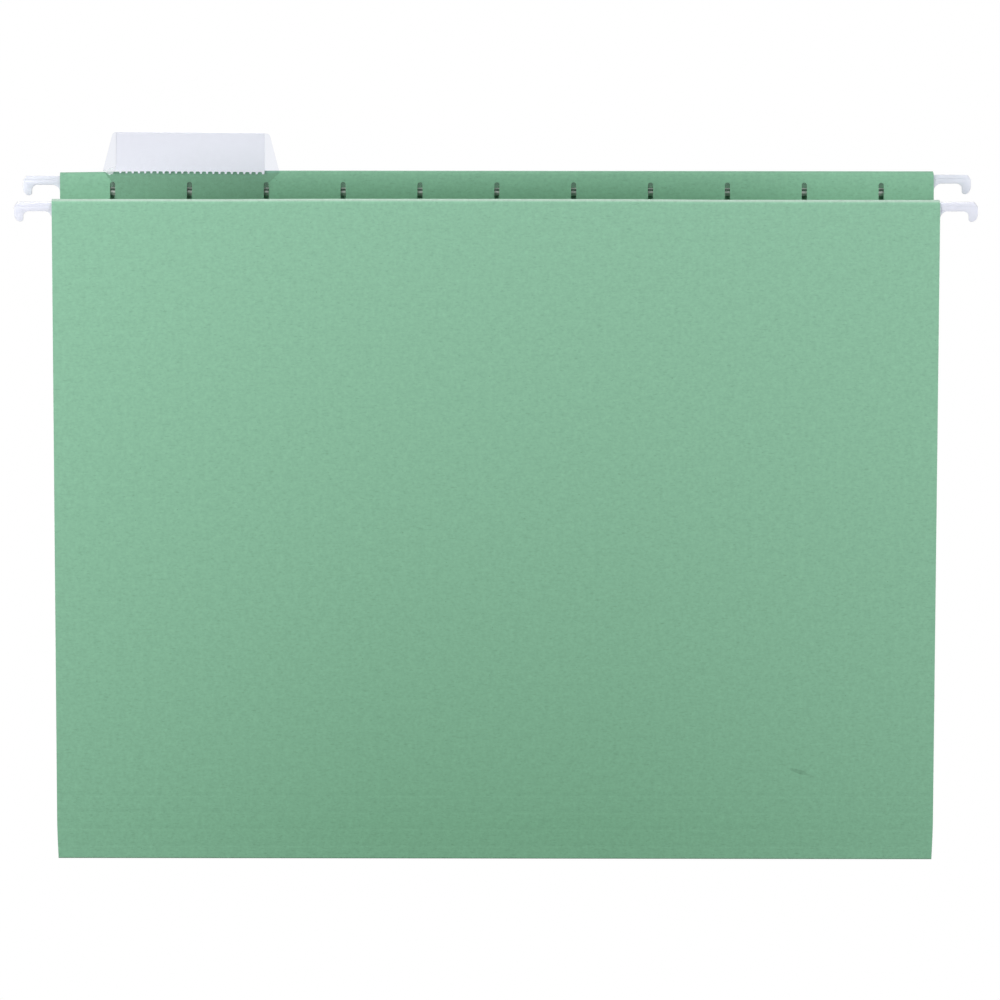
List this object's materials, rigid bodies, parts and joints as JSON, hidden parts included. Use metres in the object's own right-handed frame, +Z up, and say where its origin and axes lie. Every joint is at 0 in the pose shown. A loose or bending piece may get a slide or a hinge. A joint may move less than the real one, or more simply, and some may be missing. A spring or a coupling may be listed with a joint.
{
  "type": "hanging file folder",
  "caption": "Letter-size hanging file folder of green card, open in a V, with steel rods in glued sleeves, plastic hook tips and a clear index tab with a paper insert.",
  "frame": {"origin": "middle of the four hook seats, where the filing rails carry the folder", "axes": "+X along the rods to the right in the picture, -Y towards the front panel, +Z up"},
  "size_m": [0.3238, 0.069, 0.2457],
  "materials": {
    "green_card": "matte",
    "rod_steel": "satin",
    "hook_plastic": "satin",
    "glue": "satin",
    "clear_vinyl": "gloss",
    "insert_paper": "matte"
  },
  "bodies": {
    "rear_half": {"rear_panel": "green_card", "bottom_crease": "green_card", "rear_rod": "rod_steel", "rear_left_hook": "hook_plastic", "rear_right_hook": "hook_plastic", "rear_glue_line": "glue"},
    "front_half": {"front_panel": "green_card", "front_rod": "rod_steel", "front_left_hook": "hook_plastic", "front_right_hook": "hook_plastic", "front_glue_line": "glue"},
    "tab": {"tab": "clear_vinyl"},
    "insert": {"tab_insert": "insert_paper"}
  },
  "joints": [
    {"name": "front_panel_swing", "type": "hinge", "parent": "rear_half", "child": "front_half", "pos_m": [0, 0, -0.2245], "axis": [1, 0, 0], "range_deg": [-15.4, 160], "deforming": ["bottom_crease"]},
    {"name": "tab_lift", "type": "slide", "parent": "rear_half", "child": "tab", "axis": [0, 0.134, 0.991], "range_m": [0, 0.004]},
    {"name": "insert_slide", "type": "slide", "parent": "tab", "child": "insert", "axis": [1, 0, 0], "range_m": [-0.056, 0.056]}
  ]
}
